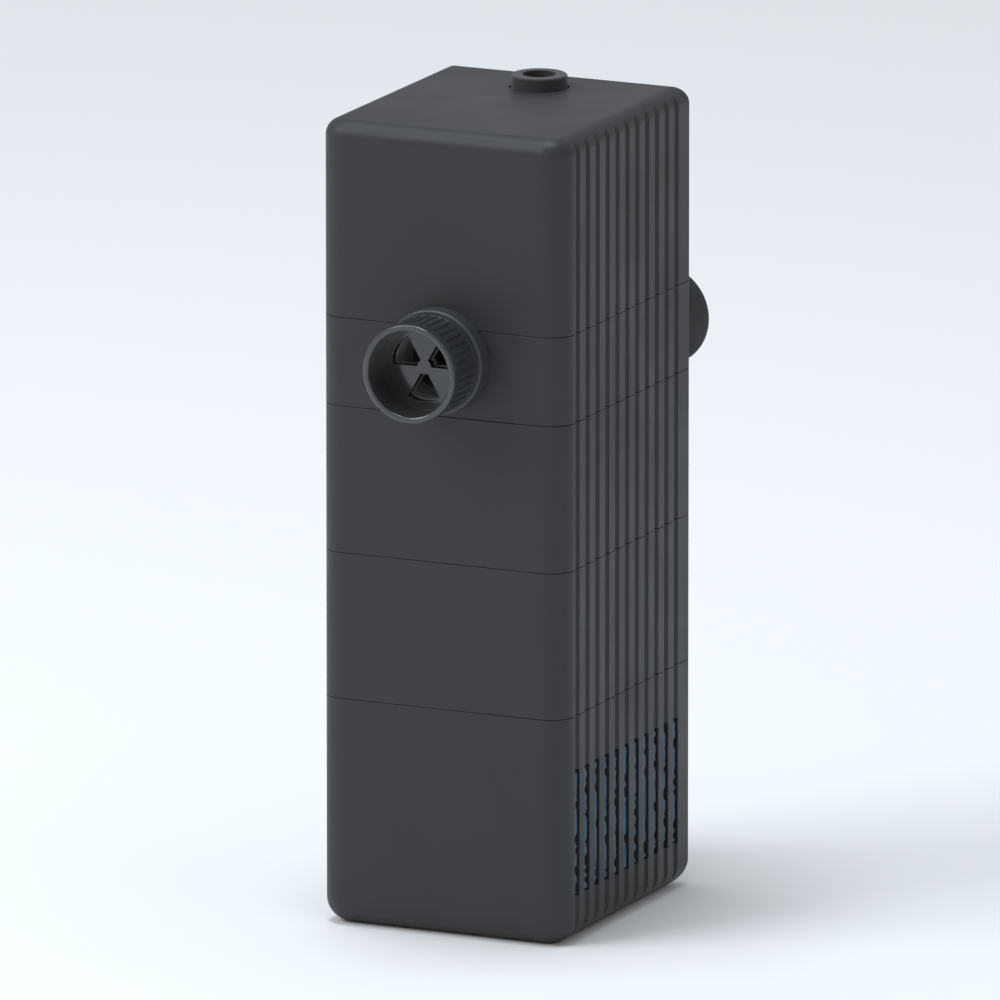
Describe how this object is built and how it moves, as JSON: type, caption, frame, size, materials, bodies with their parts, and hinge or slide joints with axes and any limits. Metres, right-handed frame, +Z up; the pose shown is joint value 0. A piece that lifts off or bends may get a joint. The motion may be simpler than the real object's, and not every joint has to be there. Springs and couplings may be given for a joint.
{
  "type": "internal power filter",
  "caption": "Tall square submersible aquarium filter of stacked modules with fluted sides, side intake slots, a knurled front outlet nozzle and rear suction cups.",
  "frame": {"origin": "middle of the flat underside of the intake base", "axes": "+Z up the stack, -Y out of the nozzle, +Y towards the glass the suction cups hold, +X to the right seen from the nozzle side"},
  "size_m": [0.041, 0.0659, 0.127],
  "materials": {
    "shell_plastic": "fine satin moulded charcoal plastic",
    "nozzle_plastic": "smooth moulded charcoal plastic with a polished rim",
    "pump_plastic": "black moulded plastic",
    "rubber": "soft translucent grey-black rubber",
    "seal_rubber": "black rubber",
    "blue_foam": "coarse open-cell foam",
    "carbon_foam": "carbon-loaded foam",
    "floss": "white polyester floss",
    "ceramic_media": "rough sintered ceramic",
    "ceramic_shaft": "polished ceramic",
    "impeller_plastic": "natural moulded plastic",
    "magnet": "sintered ferrite",
    "lamination_steel": "stacked steel laminations",
    "bobbin_plastic": "glass-filled plastic",
    "copper": "enamelled copper wire",
    "resin": "poured resin"
  },
  "bodies": {
    "base": {"intake_base": "shell_plastic", "coarse_sponge": "blue_foam"},
    "lower_tray": {"lower_media_tray": "shell_plastic", "ceramic_rings": "ceramic_media"},
    "upper_tray": {"upper_media_tray": "shell_plastic", "carbon_sponge": "carbon_foam", "floss_pad": "floss"},
    "pump": {"pump_ring": "shell_plastic", "impeller_cover": "pump_plastic", "lower_bush": "seal_rubber", "upper_bush": "seal_rubber", "volute_housing": "pump_plastic", "volute_gasket": "seal_rubber", "outlet_collar": "nozzle_plastic", "outlet_seal": "seal_rubber", "rotor_shaft": "ceramic_shaft", "motor_housing": "pump_plastic", "stator_core": "lamination_steel", "bobbin_left": "bobbin_plastic", "bobbin_right": "bobbin_plastic", "winding_left": "copper", "winding_right": "copper", "potting_resin": "resin", "motor_pads": "seal_rubber", "cable_gland": "seal_rubber", "suction_cup_left": "rubber", "suction_cup_right": "rubber"},
    "cover": {"top_cover": "shell_plastic"},
    "flow_control": {"flow_ring": "nozzle_plastic"},
    "rotor": {"impeller": "impeller_plastic", "rotor_magnet": "magnet"}
  },
  "joints": [
    {"name": "lower_tray_lift", "type": "slide", "parent": "base", "child": "lower_tray", "axis": [0, 0, 1], "range_m": [0, 0.03]},
    {"name": "upper_tray_lift", "type": "slide", "parent": "lower_tray", "child": "upper_tray", "axis": [0, 0, 1], "range_m": [0, 0.03]},
    {"name": "pump_lift", "type": "slide", "parent": "upper_tray", "child": "pump", "axis": [0, 0, 1], "range_m": [0, 0.03]},
    {"name": "cover_lift", "type": "slide", "parent": "pump", "child": "cover", "axis": [0, 0, 1], "range_m": [0, 0.04]},
    {"name": "flow_ring_turn", "type": "hinge", "parent": "pump", "child": "flow_control", "pos_m": [0, -0.0275, 0.08985], "axis": [0, -1, 0], "range_deg": [0, 60]},
    {"name": "rotor_spin", "type": "hinge", "parent": "pump", "child": "rotor", "pos_m": [0, -0.002, 0.1], "axis": [0, 0, 1], "continuous": true}
  ]
}
